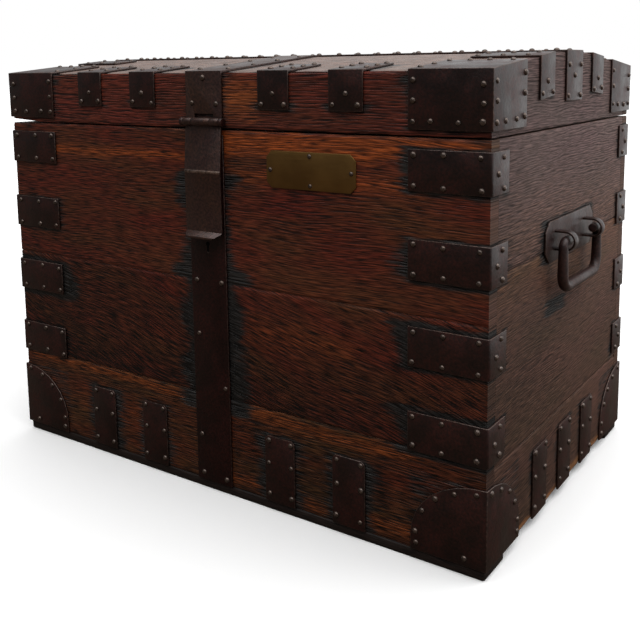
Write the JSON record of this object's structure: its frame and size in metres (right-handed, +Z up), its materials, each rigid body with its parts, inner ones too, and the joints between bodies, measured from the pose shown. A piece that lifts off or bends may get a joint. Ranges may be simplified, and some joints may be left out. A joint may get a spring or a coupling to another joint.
{
  "type": "silver chest",
  "caption": "Iron-bound oak silver chest: boarded box on runners, crowned lid on strap hinges, hanging hasp over the keyhole, sliding lock bolt, end drop handles and a baize lining.",
  "frame": {"origin": "on the floor under the middle of the chest", "axes": "+X along the front to the right as seen from the front, +Y from front to back, +Z up"},
  "size_m": [0.7838, 0.4955, 0.5465],
  "materials": {
    "oak": "old waxed oak with raised grain and dark iron stains",
    "iron": "hand-worked wrought iron, dark and waxed, worn brighter on edges",
    "brass": "bare sheet brass with a dull brown patina",
    "baize": "felted woollen baize"
  },
  "bodies": {
    "chest": {"runner_front": "oak", "runner_back": "oak", "body_front": "oak", "body_back": "oak", "body_left": "oak", "body_right": "oak", "body_floor": "oak", "body_lining": "baize", "corner_strap_front_left_1": "iron", "corner_strap_front_left_2": "iron", "corner_strap_front_left_3": "iron", "corner_strap_front_left_4": "iron", "corner_strap_front_right_1": "iron", "corner_strap_front_right_2": "iron", "corner_strap_front_right_3": "iron", "corner_strap_front_right_4": "iron", "corner_strap_back_left_1": "iron", "corner_strap_back_left_2": "iron", "corner_strap_back_left_3": "iron", "corner_strap_back_left_4": "iron", "corner_strap_back_right_1": "iron", "corner_strap_back_right_2": "iron", "corner_strap_back_right_3": "iron", "corner_strap_back_right_4": "iron", "foot_plate_front_left": "iron", "foot_plate_front_right": "iron", "foot_plate_back_left": "iron", "foot_plate_back_right": "iron", "front_centre_strap": "iron", "hinge_body_leaf_left": "iron", "hinge_body_leaf_right": "iron", "hinge_pin_left": "iron", "hinge_pin_right": "iron", "handle_plate_left": "iron", "handle_plate_right": "iron", "lock_case": "iron", "name_plaque": "brass"},
    "lid": {"lid_front": "oak", "lid_back": "oak", "lid_left": "oak", "lid_right": "oak", "lid_board_front": "oak", "lid_board_crown": "oak", "lid_board_back": "oak", "lid_lining": "baize", "lid_corner_front_left": "iron", "lid_corner_front_right": "iron", "lid_corner_back_left": "iron", "lid_corner_back_right": "iron", "crown_strap_left": "iron", "crown_strap_right": "iron", "lid_centre_strap": "iron", "hasp_pin": "iron", "hinge_lid_leaf_left": "iron", "hinge_lid_leaf_right": "iron", "link_plate": "iron"},
    "hasp": {"hasp": "iron"},
    "bail_left": {"bail_left": "iron"},
    "bail_right": {"bail_right": "iron"},
    "lock_bolt": {"lock_bolt": "iron"}
  },
  "joints": [
    {"name": "lid_hinge", "type": "hinge", "parent": "chest", "child": "lid", "pos_m": [0, 0.2393, 0.459], "axis": [-1, 0, 0], "range_deg": [0, 100]},
    {"name": "hasp_swing", "type": "hinge", "parent": "lid", "child": "hasp", "pos_m": [0, -0.2407, 0.4675], "axis": [-1, 0, 0], "range_deg": [0, 165]},
    {"name": "bail_right_swing", "type": "hinge", "parent": "chest", "child": "bail_right", "pos_m": [0.3802, 0, 0.33], "axis": [0, -1, 0], "range_deg": [0, 170]},
    {"name": "bail_left_swing", "type": "hinge", "parent": "chest", "child": "bail_left", "pos_m": [-0.3802, 0, 0.33], "axis": [0, 1, 0], "range_deg": [0, 170]},
    {"name": "lock_bolt_slide", "type": "slide", "parent": "chest", "child": "lock_bolt", "axis": [1, 0, 0], "range_m": [0, 0.014]}
  ]
}
